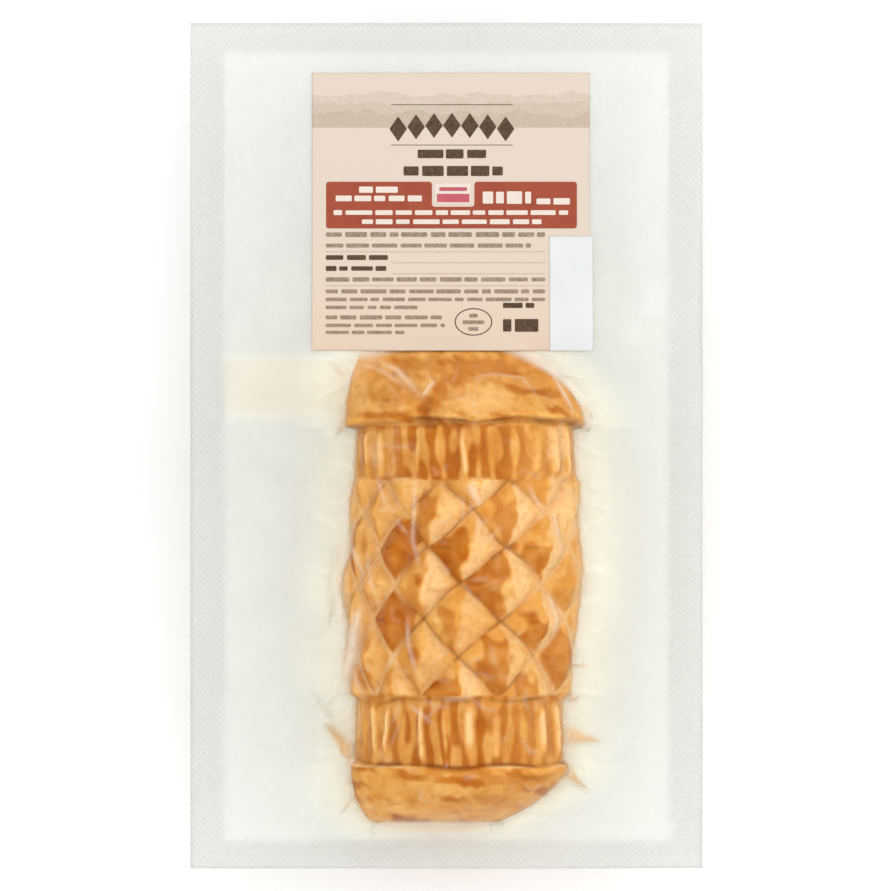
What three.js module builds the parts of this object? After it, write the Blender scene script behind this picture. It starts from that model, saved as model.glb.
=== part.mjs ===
// A smoked, mould-pressed cheese roll in a clear vacuum pouch with a paper label, lying on its back.
// Millimetres. +X runs across the pouch, +Y up the pouch to its label end, and +Z is up.
// The origin lies on the table, under the middle of the pouch's rectangle.
import * as THREE from "three";

const { clamp, degToRad, lerp, smoothstep } = THREE.MathUtils;

// The pouch: two sheets of clear film, welded all round
const pouchWidth = 123;
const pouchLength = 203;
const filmThickness = 0.6;
const sideWeld = 8.2;
const headWeld = 7.5;
const footWeld = 6.5;

// The film that lies free round the cheese lifts towards the label, and droops and waves at its edges
const labelLift = 7;
const liftFoot = -12;
const liftHead = 55;
const headDroop = 4;
const droopFrom = 41;
const sideDroop = 1.5;
const sideFrom = 30;
const edgeWave = 0.9;
const sideWaveLength = 70;
const endWaveLength = 77;

// The cheese's axis stands this high, so its underside is pressed flat where it rests
const axisHeight = 26.7;
const headAxisX = 4.5;
const footAxisX = 3.1;

// Places along the cheese, from its upper end to its foot
const headEnd = 27.7;
const headRim = 4.5;
const headCrease = 3.3;
const diamondHead = -7.9;
const diamondPitch = 8.68;
const diamondRows = 6;
const diamondFoot = diamondHead - diamondRows * diamondPitch;
const middleCrease = diamondFoot - 0.8;
const footCrease = -75.5;
const footRim = -76.7;
const footEnd = -90.8;

// Radii of the cheese's bands at their crests, and the depth of what is pressed into them
const headRimRadius = 30.1;
const headFluteRadius = 27.6;
const diamondEndRadius = 28;
const diamondMiddleRadius = 29.7;
const footFluteRadius = 26.6;
const footRimRadius = 27.6;
const creaseDepth = 1.6;
const fluteDepth = 1.8;
const ribFade = 1.8;
const diamondDepth = 2.7;
const unevenDepth = 0.35;

// Two lobes of the upper cap meet in a shallow valley, placed and sized in grid columns
const lobeDepth = 1.6;
const lobeColumn = 10.9;
const lobeWidth = 1.5;
const lobeSlant = 0.1;

// The pattern is pressed a little askew: it turns by these angles at the upper and lower end, in degrees
const headTurn = -4;
const footTurn = -12;

// Half the cheese's girth holds these many grid columns: two to a flute, three to half a diamond
const girthColumns = 27;
const columnsPerHalfDiamond = 3;
const flangeColumns = 4;

// The label and the blank sticker over its lower corner
const labelLeft = -32.3;
const labelRight = 34.4;
const labelFoot = 22.7;
const labelHead = 89.5;
const stickerLeft = 24.7;
const stickerRight = 35.1;
const stickerFoot = 22.6;
const stickerHead = 50.2;
const paperThickness = 0.3;
const paperGap = 0.35;

const capShapes = {
  head: { rim: headRim, end: headEnd, radius: headRimRadius, endShare: 0.51, shift: -6.2, soft: true },
  foot: { rim: footRim, end: footEnd, radius: footRimRadius, endShare: 0.52, shift: -6.3, soft: false },
};

// 0 at a cap's rim and 1 at its end
function capPlace(y, cap) {
  return clamp((y - cap.rim) / (cap.end - cap.rim), 0, 1);
}

function capAt(y) {
  if (y >= headRim) return capShapes.head;
  if (y <= footRim) return capShapes.foot;
  return null;
}

// A steady random number from -1 to 1 for one diamond
function uneven(column, row, side) {
  const wave = Math.sin(column * 12.9898 + row * 78.233 + side * 37.719) * 43758.5453;
  return 2 * (wave - Math.floor(wave)) - 1;
}

function axisX(y) {
  const cap = capAt(y);
  const bend = smoothstep(diamondHead - y, diamondPitch, diamondRows * diamondPitch);
  const lean = lerp(headAxisX, footAxisX, bend);
  return cap ? lean + cap.shift * capPlace(y, cap) ** 1.5 : lean;
}

// The height of the sheets' weld plane, wherever the cheese doesn't hold them apart
function sheetHeight(x, y) {
  const side = Math.abs(x);
  const [edge, end] = [pouchWidth / 2, pouchLength / 2];
  const lift = smoothstep(y, liftFoot, labelFoot) * (1 - smoothstep(y, labelFoot, liftHead));
  const spread = 1 - 0.65 * smoothstep(side, edge / 2, edge);
  const headSag = headDroop * clamp((y - droopFrom) / (end - droopFrom), 0, 1) ** 2;
  const sideSag = sideDroop * clamp((side - sideFrom) / (edge - sideFrom), 0, 1) ** 2;
  const sideShare = smoothstep(side, sideFrom, edge);
  const sideWave = sideShare * Math.sin((2 * Math.PI * y) / sideWaveLength + Math.sign(x));
  const endWave = Math.sin((2 * Math.PI * x) / endWaveLength + 0.6);
  const endShare = smoothstep(y, labelHead - 18, end) + smoothstep(-y, -footEnd, end);
  const wave = edgeWave * (sideWave + endWave * endShare);
  return axisHeight + labelLift * lift * spread - headSag - sideSag + wave;
}

// How far a grid column turns out of true down the cheese, in degrees, and not at all at the welds
function twist(y, column) {
  const turn = lerp(headTurn, footTurn, smoothstep(diamondHead - y, 0, 3 * diamondPitch));
  return turn * Math.cos(Math.PI * (column / girthColumns - 0.5)) ** 2;
}

// The angle from straight up, from -90 at the left weld to 90 at the right one
function columnAngle(y, column) {
  return degToRad(-90 + (180 * column) / girthColumns + twist(y, column));
}

// Depth below the crest in the zone of pressed diamonds: four flat facets rise to each diamond's point
function diamondRelief(y, column, side) {
  const across = column / columnsPerHalfDiamond;
  const along = (diamondHead - y) / diamondPitch;
  let highest = 0;
  for (const c of [Math.floor(across), Math.floor(across) + 1]) {
    for (const r of [Math.floor(along), Math.floor(along) + 1]) {
      if ((c + r) % 2 === 0) continue;
      const height = 1 - Math.abs(across - c) - Math.abs(along - r);
      highest = Math.max(highest, height * (1 + (unevenDepth / diamondDepth) * uneven(c, r, side)));
    }
  }
  return diamondDepth * (1 - highest);
}

// Depth below the crest in a fluted band, whose ribs fade out at both its ends
function fluteRelief(y, column, head, foot) {
  const fade = Math.min(smoothstep(head - y, 0, ribFade), smoothstep(y - foot, 0, ribFade));
  return fluteDepth * (1 - fade * (0.5 + 0.5 * Math.cos(Math.PI * column)));
}

// The cheese's radius under the film at a place along it and a grid column round it
function girthRadius(y, column, side) {
  const cap = capAt(y);
  if (cap) return cap.radius;
  if (y > diamondHead) {
    const crease = creaseDepth * (1 - smoothstep(headCrease - y, 0, ribFade));
    return headFluteRadius - Math.max(crease, fluteRelief(y, column, headCrease, diamondHead));
  }
  if (y >= diamondFoot) {
    const bulge = Math.sin((Math.PI * (diamondHead - y)) / (diamondHead - diamondFoot)) ** 0.8;
    return lerp(diamondEndRadius, diamondMiddleRadius, bulge) - diamondRelief(y, column, side);
  }
  return footFluteRadius - fluteRelief(y, column, middleCrease, footCrease);
}

// How far the film bulges from the weld plane at a place along the pack, as a share of the girth radius:
// 1 along the cheese's body, falling to 0 at its ends
function bulgeShare(y, side) {
  if (y >= headEnd || y <= footEnd) return 0;
  const cap = capAt(y);
  if (!cap) return 1;
  const t = capPlace(y, cap);
  if (cap.soft && side > 0) return (1 - t ** 1.5) ** 1.4;
  return (1 - t ** 2.6) ** 0.56;
}

// The film slopes softly off the cheese's upper end, under the label, and hugs it tightly elsewhere
function bulgePower(y, side) {
  return side > 0 && y > headRim ? lerp(1, 3, smoothstep(y, headRim, headEnd - 3)) : 1;
}

function widthShare(y) {
  const cap = capAt(y);
  if (!cap) return 1;
  const t = capPlace(y, cap);
  return lerp(cap.endShare, 1, (1 - t ** 1.6) ** 0.75);
}

function lobeValley(y, column, side) {
  if (side < 0 || y < headRim) return 0;
  return lobeDepth * Math.exp(-(((column - lobeColumn + lobeSlant * (y - headRim)) / lobeWidth) ** 2));
}

function bulgePoint(y, column, side) {
  const angle = columnAngle(y, column);
  const up = clamp(Math.cos(angle), 0, 1);
  const radius = girthRadius(y, column, side) - lobeValley(y, column, side);
  const x = axisX(y) + radius * widthShare(y) * Math.sin(angle);
  const share = bulgeShare(y, side) * up ** bulgePower(y, side);
  const level = lerp(sheetHeight(x, y), axisHeight, share);
  const z = level + side * (filmThickness / 2 + radius * share);
  return new THREE.Vector3(x, y, Math.max(z, 0));
}

// A closed slab over a grid of columns and rows. pointAt gives the place of its upper skin (side 1) and
// lower skin (side -1), and each cell folds along the diagonal that lies nearer the true surface.
function slabGeometry(columns, rows, pointAt) {
  const corners = [];
  for (const side of [1, -1]) {
    for (let v = 0; v <= rows; v++) {
      for (let u = 0; u <= columns; u++) corners.push(pointAt(u, v, side));
    }
  }
  const corner = (u, v, side) => ((side > 0 ? 0 : rows + 1) + v) * (columns + 1) + u;
  const faces = [];
  const addFace = (a, b, c, side) => faces.push(...(side > 0 ? [a, b, c] : [a, c, b]));
  for (const side of [1, -1]) {
    for (let v = 0; v < rows; v++) {
      for (let u = 0; u < columns; u++) {
        const [a, b] = [corner(u, v, side), corner(u + 1, v, side)];
        const [c, d] = [corner(u + 1, v + 1, side), corner(u, v + 1, side)];
        const middle = pointAt(u + 0.5, v + 0.5, side);
        const rising = corners[a].clone().lerp(corners[c], 0.5).distanceTo(middle);
        const falling = corners[b].clone().lerp(corners[d], 0.5).distanceTo(middle);
        if (rising <= falling) {
          addFace(a, b, c, side);
          addFace(a, c, d, side);
        } else {
          addFace(a, b, d, side);
          addFace(b, c, d, side);
        }
      }
    }
  }
  const rim = [];
  for (let u = 0; u < columns; u++) rim.push([u, 0]);
  for (let v = 0; v < rows; v++) rim.push([columns, v]);
  for (let u = columns; u > 0; u--) rim.push([u, rows]);
  for (let v = rows; v > 0; v--) rim.push([0, v]);
  rim.forEach((from, i) => {
    const to = rim[(i + 1) % rim.length];
    addFace(corner(...from, 1), corner(...from, -1), corner(...to, -1), 1);
    addFace(corner(...from, 1), corner(...to, -1), corner(...to, 1), 1);
  });
  const geometry = new THREE.BufferGeometry().setFromPoints(corners).setIndex(faces);
  geometry.computeVertexNormals();
  return geometry;
}

// A value at a whole or half step along a list of places
function placeAt(places, step) {
  const below = Math.min(Math.floor(step), places.length - 2);
  return lerp(places[below], places[below + 1], step - below);
}

function evenSteps(from, to, steps) {
  return Array.from({ length: steps }, (_, i) => lerp(from, to, i / steps));
}

// Steps that draw together towards the end of a cap
function capSteps(cap, steps) {
  return Array.from({ length: steps + 1 }, (_, i) => {
    return lerp(cap.rim, cap.end, Math.sin((Math.PI * i) / (2 * steps)));
  });
}

function pouchRows() {
  const foot = -pouchLength / 2;
  const head = pouchLength / 2;
  return [
    ...evenSteps(foot, foot + footWeld, 2),
    ...evenSteps(foot + footWeld, footEnd, 2),
    ...capSteps(capShapes.foot, 6).reverse(),
    footCrease,
    ...evenSteps(footCrease + 1, middleCrease, 4),
    middleCrease,
    ...evenSteps(diamondFoot, diamondHead, diamondRows * columnsPerHalfDiamond),
    ...evenSteps(diamondHead, headCrease, 4),
    headCrease,
    ...capSteps(capShapes.head, 8),
    ...evenSteps(headEnd + 3, liftHead, 5),
    ...evenSteps(liftHead, head - headWeld, 4),
    head - headWeld,
    head,
  ];
}

function vacuumPouch() {
  const rows = pouchRows();
  const columns = girthColumns + 2 * flangeColumns;
  const pointAt = (u, v, side) => {
    const y = placeAt(rows, v);
    const column = u - flangeColumns;
    if (column >= 0 && column <= girthColumns) return bulgePoint(y, column, side);
    const edgeSide = Math.sign(column);
    const fromEdge = column < 0 ? u : columns - u;
    const root = bulgePoint(y, column < 0 ? 0 : girthColumns, side).x;
    const weldLine = edgeSide * (pouchWidth / 2 - sideWeld);
    const inner = lerp(weldLine, root, clamp((fromEdge - 1) / (flangeColumns - 1), 0, 1));
    const x = lerp(edgeSide * (pouchWidth / 2), inner, Math.min(fromEdge, 1));
    return new THREE.Vector3(x, y, sheetHeight(x, y) + (side * filmThickness) / 2);
  };
  return slabGeometry(columns, rows.length - 1, pointAt);
}

// The height of the upper film under the label, from the weld plane up onto the cheese's upper end
function upperFilm(x, y) {
  const across = (x - axisX(y)) / (headRimRadius * widthShare(y));
  const share = bulgeShare(y, 1) * Math.max(0, 1 - across ** 2) ** (bulgePower(y, 1) / 2);
  return lerp(sheetHeight(x, y), axisHeight, share) + filmThickness / 2 + headRimRadius * share;
}

// A sheet of paper that lies over the upper film, its rows drawn together towards its foot, where it bends
function paper([left, right], [foot, head], layer, columns, rows) {
  const base = paperGap + layer * (paperThickness + paperGap);
  const pointAt = (u, v, side) => {
    const x = lerp(left, right, u / columns);
    const y = lerp(foot, head, (v / rows) ** 1.4);
    return new THREE.Vector3(x, y, upperFilm(x, y) + base + (side > 0 ? paperThickness : 0));
  };
  return slabGeometry(columns, rows, pointAt);
}

function addPiece(pack, name, geometry, color, roughness) {
  const material = new THREE.MeshStandardMaterial({ color, roughness, metalness: 0 });
  const mesh = new THREE.Mesh(geometry, material);
  mesh.name = name;
  pack.add(mesh);
}

const pack = new THREE.Group();
pack.name = "cheese_roll_in_vacuum_pouch";
const label = paper([labelLeft, labelRight], [labelFoot, labelHead], 0, 12, 12);
const sticker = paper([stickerLeft, stickerRight], [stickerFoot, stickerHead], 1, 3, 8);
addPiece(pack, "vacuum_pouch", vacuumPouch(), 0xe9b368, 0.3);
addPiece(pack, "paper_label", label, 0xefe0d0, 0.6);
addPiece(pack, "blank_sticker", sticker, 0xf4f6f9, 0.5);

export default pack;
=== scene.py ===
# A smoked cheese roll in a clear vacuum pouch with a paper label, lying on its back on a pale floor
import math

import bmesh
import bpy
import numpy as np
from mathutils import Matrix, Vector


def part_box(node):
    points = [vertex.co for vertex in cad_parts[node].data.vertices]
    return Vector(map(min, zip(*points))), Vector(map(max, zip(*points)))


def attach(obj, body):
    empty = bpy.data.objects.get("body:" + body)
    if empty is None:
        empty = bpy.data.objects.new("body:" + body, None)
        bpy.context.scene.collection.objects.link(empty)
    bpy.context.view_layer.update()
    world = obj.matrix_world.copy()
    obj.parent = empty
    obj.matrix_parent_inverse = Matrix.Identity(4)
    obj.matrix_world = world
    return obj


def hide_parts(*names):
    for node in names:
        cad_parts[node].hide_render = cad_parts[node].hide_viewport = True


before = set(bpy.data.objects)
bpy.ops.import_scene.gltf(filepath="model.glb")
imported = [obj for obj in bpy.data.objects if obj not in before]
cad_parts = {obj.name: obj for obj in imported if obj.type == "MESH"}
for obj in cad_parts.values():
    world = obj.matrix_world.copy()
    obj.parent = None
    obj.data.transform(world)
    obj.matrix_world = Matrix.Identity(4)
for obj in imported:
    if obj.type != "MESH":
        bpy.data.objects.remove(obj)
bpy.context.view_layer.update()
mm = 0.001

# The pouch's rectangle and its welded borders, in millimetres; the rectangle itself comes from the frame
pouchLow, pouchHigh = [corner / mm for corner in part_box("vacuum_pouch")]
pouch = {
    "edge": pouchHigh.x,
    "end": pouchHigh.y,
    "top": pouchHigh.z,
    "sheetsApart": 0.6,
    "sideWeld": 8.2,
    "headWeld": 7.5,
    "footWeld": 6.5,
    "labelLift": 7.0,
    "liftFrom": -12.0,
    "liftTo": 55.0,
    "edgeShare": 0.65,
    "headDroop": 4.0,
    "droopFrom": 41.0,
    "sideDroop": 1.5,
    "sideFrom": 30.0,
    "edgeWave": 0.9,
    "sideWaveLength": 70.0,
    "endWaveLength": 77.0,
    "endWaveStart": 0.6,
    "endWaveFrom": 71.5,
}

# The label and the sticker over its lower corner, and how far they lie off the film
label = {"left": -32.3, "right": 34.4, "foot": 22.7, "head": 89.5, "gap": 0.1, "thickness": 0.15, "margin": 2.5}
sticker = {"left": 24.7, "right": 35.1, "foot": 22.6, "head": 50.2, "gap": 0.3, "thickness": 0.12}

# The cheese from its upper end to its foot: radii at the crests, and what is pressed into them
cheese = {
    "axisHeight": 26.7,
    "headAxisX": 4.5,
    "footAxisX": 3.1,
    "headEnd": 27.7,
    "headRim": 4.5,
    "headCrease": 3.3,
    "diamondHead": -7.9,
    "diamondPitch": 8.68,
    "diamondRows": 6,
    "footCrease": -75.5,
    "footRim": -76.7,
    "footEnd": -90.8,
    "headRimRadius": 30.1,
    "headFluteRadius": 27.6,
    "diamondEndRadius": 28.0,
    "diamondMiddleRadius": 29.7,
    "footFluteRadius": 26.6,
    "footRimRadius": 27.6,
    "creaseDepth": 1.6,
    "fluteDepth": 1.8,
    "ribFade": 1.8,
    "diamondDepth": 2.7,
    "unevenDepth": 0.35,
    "lobeDepth": 1.6,
    "lobeColumn": 10.9,
    "lobeWidth": 1.5,
    "lobeSlant": 0.1,
    "headTurn": -4.0,
    "footTurn": -12.0,
    "girthColumns": 27,
    "halfDiamond": 3,
    "grooveFill": 0.5,
    "ribUneven": 0.75,
    "ribNarrow": 2.0,
    "ribEnd": 0.25,
    "wanderColumns": 0.12,
    "wanderLength": 0.4,
    "middleRise": 1.0,
    "rimRise": 2.5,
    "rimWave": 0.45,
    "bandBlend": 1.1,
    "rimRound": 1.0,
    "lumpDepth": 0.9,
    "sideShare": 0.25,
    "filmGap": 0.3,
}
cheese["diamondFoot"] = cheese["diamondHead"] - cheese["diamondRows"] * cheese["diamondPitch"]
cheese["middleCrease"] = cheese["diamondFoot"] - 0.8

headCap = {"rim": cheese["headRim"], "end": cheese["headEnd"], "endShare": 0.51, "shift": -6.2}
footCap = {"rim": cheese["footRim"], "end": cheese["footEnd"], "endShare": 0.52, "shift": -6.3}


def smoothStep(x, low, high):
    t = np.clip((x - low) / (high - low), 0, 1)
    return t * t * (3 - 2 * t)


def mix(a, b, t):
    return a + (b - a) * t


# An uneven height between about -1 and 1, with bumps of roughly one wavelength in millimetres
def randomWaves(x, y, wavelength, seed, count=9):
    draw = np.random.default_rng(seed)
    total = np.zeros(np.broadcast(x, y).shape)
    for _ in range(count):
        angle, phase = draw.uniform(0, 2 * math.pi, 2)
        length = wavelength * draw.uniform(0.7, 1.5)
        total += np.sin(2 * math.pi * (x * math.cos(angle) + y * math.sin(angle)) / length + phase)
    return total / math.sqrt(count)


def capPlace(y, cap):
    return np.clip((y - cap["rim"]) / (cap["end"] - cap["rim"]), 0, 1)


def axisX(y):
    rows = cheese["diamondRows"] * cheese["diamondPitch"]
    bend = smoothStep(cheese["diamondHead"] - y, cheese["diamondPitch"], rows)
    lean = mix(cheese["headAxisX"], cheese["footAxisX"], bend)
    for cap in (headCap, footCap):
        lean = lean + cap["shift"] * capPlace(y, cap) ** 1.5
    return lean


# The height of the two sheets wherever the cheese doesn't hold them apart
def sheetHeight(x, y):
    side = np.abs(x)
    edge, end = pouch["edge"], pouch["end"]
    lift = smoothStep(y, pouch["liftFrom"], label["foot"]) * (1 - smoothStep(y, label["foot"], pouch["liftTo"]))
    lift = lift * pouch["labelLift"] * (1 - pouch["edgeShare"] * smoothStep(side, edge / 2, edge))
    headSag = pouch["headDroop"] * np.clip((y - pouch["droopFrom"]) / (end - pouch["droopFrom"]), 0, 1) ** 2
    sideSag = pouch["sideDroop"] * np.clip((side - pouch["sideFrom"]) / (edge - pouch["sideFrom"]), 0, 1) ** 2
    sideWave = np.sin(2 * math.pi * y / pouch["sideWaveLength"] + np.sign(x))
    sideWave = sideWave * smoothStep(side, pouch["sideFrom"], edge)
    endWave = np.sin(2 * math.pi * x / pouch["endWaveLength"] + pouch["endWaveStart"])
    endWave = endWave * (smoothStep(y, pouch["endWaveFrom"], end) + smoothStep(-y, -cheese["footEnd"], end))
    return cheese["axisHeight"] + lift - headSag - sideSag + pouch["edgeWave"] * (sideWave + endWave)


# The angle from straight up of a place round the girth, counted in columns from the left weld to the right one
def columnAngle(y, column):
    share = column / cheese["girthColumns"]
    twist = smoothStep(cheese["diamondHead"] - y, 0, 3 * cheese["diamondPitch"])
    turn = mix(cheese["headTurn"], cheese["footTurn"], twist)
    return np.radians(-90 + 180 * share + turn * np.cos(math.pi * (share - 0.5)) ** 2)


def uneven(column, row, side):
    wave = np.sin(column * 12.9898 + row * 78.233 + side * 37.719) * 43758.5453
    return 2 * (wave - np.floor(wave)) - 1


# Height of the pressed diamonds, 0 in the grooves and about 1 at each point, with the place in the diamond, across
# (-1 at its left corner, 1 at its right) and along, and a number that differs from one diamond to the next
def diamondForm(y, column, side, soften):
    across = column / cheese["halfDiamond"]
    along = (cheese["diamondHead"] - y) / cheese["diamondPitch"]
    highest = np.zeros_like(across)
    lean = np.zeros_like(across)
    rise = np.ones_like(across)
    cell = np.zeros_like(across)
    cellColumn = np.zeros_like(across)
    cellRow = np.zeros_like(across)
    lastCell = cheese["girthColumns"] / cheese["halfDiamond"]
    for stepAcross in (0, 1):
        for stepAlong in (0, 1):
            c = np.floor(across) + stepAcross
            r = np.floor(along) + stepAlong
            da, db = across - c, along - r
            height = 1 - np.sqrt(da**2 + soften**2) - np.sqrt(db**2 + soften**2) + soften
            half = side * ((c > 0) & (c < lastCell))
            height = height * (1 + cheese["unevenDepth"] / cheese["diamondDepth"] * uneven(c, r, half))
            chosen = ((c + r) % 2 == 1) & (height > highest)
            highest = np.where(chosen, height, highest)
            lean = np.where(chosen, da, lean)
            rise = np.where(chosen, db, rise)
            cell = np.where(chosen, uneven(c + 5, r + 3, half), cell)
            cellColumn = np.where(chosen, c, cellColumn)
            cellRow = np.where(chosen, r, cellRow)
    return highest, {"lean": lean, "rise": rise, "cell": cell, "column": cellColumn, "row": cellRow}


# Ribs, no two of them equally deep, wide or long
def fluteForm(y, column, head, foot):
    depth, start, end, width = (0.5 + 0.5 * uneven(np.rint(column / 2), foot, seed) for seed in (1, 2, 3, 4))
    upper = smoothStep(head - y, 0, cheese["ribFade"] * mix(1, 3, start))
    lower = smoothStep(y - foot, 0, cheese["ribFade"] * mix(1, 3.5, end))
    fade = mix(cheese["ribEnd"], 1, np.minimum(upper, lower))
    nearWeld = np.minimum(column, cheese["girthColumns"] - column)
    narrow = cheese["ribNarrow"] * mix(0.45, 2.0, width) * mix(0.5, 1, smoothStep(nearWeld, 4, 8))
    return fade * (1 - cheese["ribUneven"] * depth) * (0.5 + 0.5 * np.cos(math.pi * column)) ** narrow


# The pattern wanders a little, as in curd pressed by hand, but not where its bands meet
def wander(y, column, side):
    bands = (cheese["diamondHead"], cheese["diamondFoot"])
    nearest = np.min([np.abs(y - band) for band in bands], axis=0)
    girth = 3.2 * column + 200 * (side < 0)
    newColumn = column + cheese["wanderColumns"] * randomWaves(girth, y, 15.0, 41)
    newY = y + cheese["wanderLength"] * randomWaves(girth, y, 13.0, 42) * smoothStep(nearest, 0, 3.5)
    newY = newY - cheese["middleRise"] * smoothStep(nearest, 0, 12) * ((y < bands[0]) & (y > bands[1]))
    free = smoothStep(column, 0, 1.5) * smoothStep(cheese["girthColumns"] - column, 0, 1.5)
    return mix(y, newY, free), mix(column, newColumn, free)


# How far the edges of the upper and the lower cap run above their places
def rimRises(y, column, side):
    fromRight = cheese["girthColumns"] - column
    wave = cheese["rimWave"] * randomWaves(3.2 * column + 200 * (side < 0), 0 * y, 16.0, 46)
    wave = wave * smoothStep(np.minimum(column, fromRight), 0, 3)
    rise = cheese["rimRise"] * smoothStep(column, 2, 9) * smoothStep(fromRight, -1, 6) * (side > 0)
    return rise + wave, wave


# The radius of the cheese (film False) or of the film that clings to it (film True), in millimetres,
# with how deep in its pattern a place lies, as a share, and how its facet leans
def girthRadius(y, column, side, film):
    fill = cheese["grooveFill"]
    head, foot = cheese["diamondHead"], cheese["diamondFoot"]
    y, column = wander(y, column, side)
    nearWeld = np.minimum(column, cheese["girthColumns"] - column)
    rise, rimWave = rimRises(y, column, side)
    highest, form = diamondForm(y, column, side, 0.1 if film else 0.03)
    depth = (cheese["diamondDepth"] + fill) * (1 - highest)
    flute = np.where(
        y > head,
        fluteForm(y, column, cheese["headCrease"] + rise, head),
        fluteForm(y, column, cheese["middleCrease"], cheese["footCrease"]),
    )
    headShare = smoothStep(y - rise, cheese["headRim"] - cheese["rimRound"], cheese["headRim"] + 0.3)
    footShare = smoothStep(rimWave - y, -cheese["footRim"] - cheese["rimRound"], 0.3 - cheese["footRim"])
    fluteDeep = cheese["fluteDepth"] * (0.55 if film else 0.75) * (1 - flute) * (1 - headShare) * (1 - footShare)
    creaseDepth = cheese["creaseDepth"] * (0.4 if film else 1) + fill
    crease = creaseDepth * (1 - smoothStep(cheese["headCrease"] + rise - y, 0, cheese["ribFade"])) * (1 - headShare)
    barrel = np.sin(math.pi * np.clip((head - y) / (head - foot), 0, 1)) ** 0.8
    diamondCrest = mix(cheese["diamondEndRadius"], cheese["diamondMiddleRadius"], barrel)
    blend = cheese["bandBlend"]
    band = smoothStep(head - y, -blend, blend) * smoothStep(y - foot, -blend, blend)
    headCrest = mix(cheese["headFluteRadius"], cheese["headRimRadius"], headShare)
    footCrest = mix(cheese["footFluteRadius"], cheese["footRimRadius"], footShare)
    crest = mix(np.where(y > head - 1, headCrest, footCrest), diamondCrest, band)
    deep = mix(np.where(y > head - 1, np.maximum(crease, fluteDeep), fluteDeep), depth, band)
    full = mix(cheese["fluteDepth"], cheese["diamondDepth"] + fill, band)
    form["place"] = deep / full
    form["nearWeld"] = nearWeld
    deep = deep * mix(cheese["sideShare"], 1, smoothStep(nearWeld, 0.3, 4.5))
    if film:
        deep = np.where(deep > 0, deep - fill * np.exp(np.minimum(deep - full, 0) / fill), deep)
    slant = cheese["lobeSlant"] * (y - cheese["headRim"])
    valley = cheese["lobeDepth"] * np.exp(-(((column - cheese["lobeColumn"] + slant) / cheese["lobeWidth"]) ** 2))
    valley = np.where((side > 0) & (y >= cheese["headRim"]), valley, 0)
    ownLumps, sharedLumps = (randomWaves(3.2 * column * own + 200 * own * (side < 0), y, 22.0, 43) for own in (1, 0))
    lumps = mix(sharedLumps, ownLumps, smoothStep(nearWeld, 0, 5))
    lumps = cheese["lumpDepth"] * (0.5 + 0.5 * np.clip(lumps, -1, 1))
    return crest - deep - valley - lumps, form


def bulgeShare(y, side):
    t = np.maximum(capPlace(y, headCap), capPlace(y, footCap))
    soft = (side > 0) & (y >= cheese["headRim"])
    return np.where(soft, np.maximum(1 - t**1.5, 0) ** 1.4, np.maximum(1 - t**2.6, 0) ** 0.56)


def widthShare(y):
    t = np.maximum(capPlace(y, headCap), capPlace(y, footCap))
    endShare = np.where(y > 0, headCap["endShare"], footCap["endShare"])
    return mix(endShare, 1, np.maximum(1 - t**1.6, 0) ** 0.75)


def bulgePower(y, side):
    soft = mix(1, 3, smoothStep(y, cheese["headRim"], cheese["headEnd"] - 3))
    return np.where((side > 0) & (y > cheese["headRim"]), soft, 1)


# The upper cap is folded from two lobes: hollows between points x, y in millimetres, their half widths and depths
capHollows = [
    ([(-24.0, 22.6), (-13.0, 16.2), (-5.2, 11.0), (-3.6, 4.0)], 2.6, 1.9),
    ([(-3.5, 7.0), (2.0, 14.4), (8.5, 17.0), (21.2, 15.4), (28.0, 10.0)], 2.8, 1.3),
    ([(-20.0, 6.6), (-12.0, 9.0), (-5.0, 7.0)], 1.8, 0.7),
    ([(14.0, 21.0), (22.0, 12.5), (26.0, 6.0)], 1.6, 0.6),
]


# The distance to a line through points, and how far along it the nearest place lies, from 0 to 1
def lineDistance(x, y, points):
    points = np.array(points, dtype=float)
    lengths = np.hypot(*np.diff(points, axis=0).T)
    before, total = 0.0, lengths.sum()
    best = np.full(x.shape, 1e9)
    along = np.zeros(x.shape)
    for start, end, length in zip(points, points[1:], lengths):
        step = (end - start) / length
        t = np.clip((x - start[0]) * step[0] + (y - start[1]) * step[1], 0, length)
        off = np.hypot(x - start[0] - t * step[0], y - start[1] - t * step[1])
        along = np.where(off < best, (before + t) / total, along)
        best = np.minimum(off, best)
        before += length
    return best, along


def capHollow(x, y):
    hollow = np.zeros(np.broadcast(x, y).shape)
    for points, width, depth in capHollows:
        off, along = lineDistance(x + 0 * y, y + 0 * x, points)
        hollow = np.maximum(hollow, depth * np.exp(-((off / width) ** 2)))
    return hollow * smoothStep(y, cheese["headRim"] - 1, cheese["headRim"] + 3)


# A place on the cheese or on the film over it, in millimetres
def girthPoint(y, column, side, film):
    angle = columnAngle(y, column)
    radius, form = girthRadius(y, column, side, film)
    radius = radius - (0 if film else cheese["filmGap"])
    up = np.clip(np.cos(angle), 0, 1)
    x = axisX(y) + radius * widthShare(y) * np.sin(angle)
    share = bulgeShare(y, side) * up ** bulgePower(y, side)
    level = mix(sheetHeight(x, y), cheese["axisHeight"], share)
    apart = pouch["sheetsApart"] / 2 if film else 0
    z = level + side * (apart + radius * share) - capHollow(x, y) * (side > 0) * share
    return x, z, form


# The height of the front film under the label, over the cheese's upper end as well
def upperFilm(x, y):
    across = (x - axisX(y)) / (cheese["headRimRadius"] * widthShare(y))
    share = bulgeShare(y, 1) * np.maximum(1 - across**2, 0) ** (bulgePower(y, 1) / 2)
    level = mix(sheetHeight(x, y), cheese["axisHeight"], share)
    return level + pouch["sheetsApart"] / 2 + cheese["headRimRadius"] * share


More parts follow.
